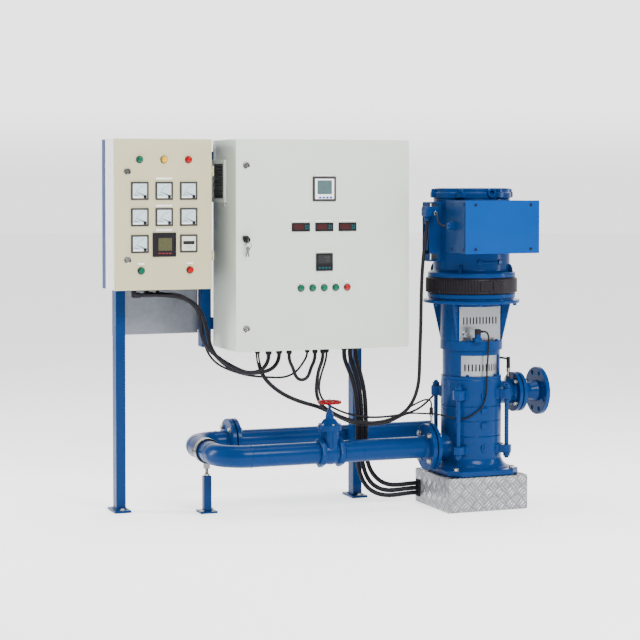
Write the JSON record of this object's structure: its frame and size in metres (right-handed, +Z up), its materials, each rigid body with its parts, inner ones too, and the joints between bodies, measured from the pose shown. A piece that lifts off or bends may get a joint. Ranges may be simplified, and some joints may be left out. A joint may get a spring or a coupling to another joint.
{
  "type": "vertical multistage pump set",
  "caption": "Vertical multistage pump on a plinth, with looped pipework, a hand-wheel gate valve, and a free-standing control stand with hinged-door cabinets.",
  "frame": {"origin": "on the floor, at the middle of the outline's bottom", "axes": "+X from the control stand towards the pump, +Y from the cabinet doors towards the back, +Z up"},
  "size_m": [1.804, 0.843, 1.515],
  "materials": {
    "blue_machine_enamel": "gloss enamel",
    "blue_box_enamel": "gloss enamel",
    "pebble_grey_powder_coat": "fine-texture powder coat",
    "light_grey_powder_coat": "fine-texture powder coat",
    "galvanised_sheet": "zinc-coated",
    "aluminium_tread_plate": "rolled tread pattern",
    "stainless_steel": "plain stainless",
    "black_plastic": "moulded",
    "black_cable_sheath": "smooth sheath",
    "red_enamel": "gloss enamel"
  },
  "bodies": {
    "set": {"stand_left_leg": "blue_machine_enamel", "stand_right_leg": "blue_machine_enamel", "stand_mid_upright": "blue_machine_enamel", "stand_top_rail": "blue_machine_enamel", "stand_lower_rail": "blue_machine_enamel", "stand_back_sheet": "galvanised_sheet", "small_cabinet_shell": "pebble_grey_powder_coat", "small_cabinet_spacer": "blue_machine_enamel", "small_gland_plate": "black_plastic", "main_cabinet_shell": "light_grey_powder_coat", "main_mounting_plate": "galvanised_sheet", "main_vent_filter": "black_plastic", "main_gland_plate": "black_plastic", "plinth": "aluminium_tread_plate", "pump_foot_casing": "blue_machine_enamel", "pump_stage_casing": "blue_machine_enamel", "pump_discharge_casing": "blue_machine_enamel", "tie_rod_1": "blue_machine_enamel", "tie_rod_2": "blue_machine_enamel", "tie_rod_3": "blue_machine_enamel", "tie_rod_4": "blue_machine_enamel", "bearing_bracket": "blue_machine_enamel", "shaft_guard_front": "stainless_steel", "shaft_guard_back": "stainless_steel", "motor_lantern": "blue_machine_enamel", "lantern_guard_front": "stainless_steel", "lantern_guard_back": "stainless_steel", "motor_cooling_ring": "black_plastic", "motor_body": "blue_machine_enamel", "motor_end_cap": "blue_machine_enamel", "motor_foot_bracket": "blue_machine_enamel", "terminal_box": "blue_box_enamel", "suction_sensor": "black_plastic", "discharge_sensor": "black_plastic", "lantern_sensor": "black_plastic", "pump_end_pipe": "blue_machine_enamel", "gate_valve": "blue_machine_enamel", "front_pipe": "blue_machine_enamel", "cross_pipe": "blue_machine_enamel", "back_pipe": "blue_machine_enamel", "pipe_clamp": "stainless_steel", "pipe_support": "blue_machine_enamel", "discharge_adapter": "blue_machine_enamel", "panel_cable_1": "black_cable_sheath", "panel_cable_2": "black_cable_sheath", "signal_cable": "black_cable_sheath", "loop_cable": "black_cable_sheath", "motor_cable": "black_cable_sheath", "suction_lead": "black_cable_sheath", "lantern_lead": "black_cable_sheath", "discharge_lead": "black_cable_sheath", "plinth_cable_1": "black_cable_sheath", "plinth_cable_2": "black_cable_sheath", "plinth_cable_3": "black_cable_sheath", "terminal_jumper": "black_cable_sheath"},
    "small_cabinet_door": {"small_cabinet_door": "pebble_grey_powder_coat"},
    "main_cabinet_door": {"main_cabinet_door": "light_grey_powder_coat", "main_door_handle": "black_plastic"},
    "handwheel": {"valve_handwheel": "red_enamel"}
  },
  "joints": [
    {"name": "small_door_hinge", "type": "hinge", "parent": "set", "child": "small_cabinet_door", "pos_m": [-0.4955, 0.0145, 1.218], "axis": [0, 0, 1], "range_deg": [0, 95]},
    {"name": "main_door_hinge", "type": "hinge", "parent": "set", "child": "main_cabinet_door", "pos_m": [0.311, -0.08, 1.09], "axis": [0, 0, 1], "range_deg": [0, 90]},
    {"name": "handwheel_spin", "type": "hinge", "parent": "set", "child": "handwheel", "pos_m": [-0.049, -0.1295, 0.455], "axis": [0, 0, 1], "continuous": true}
  ]
}
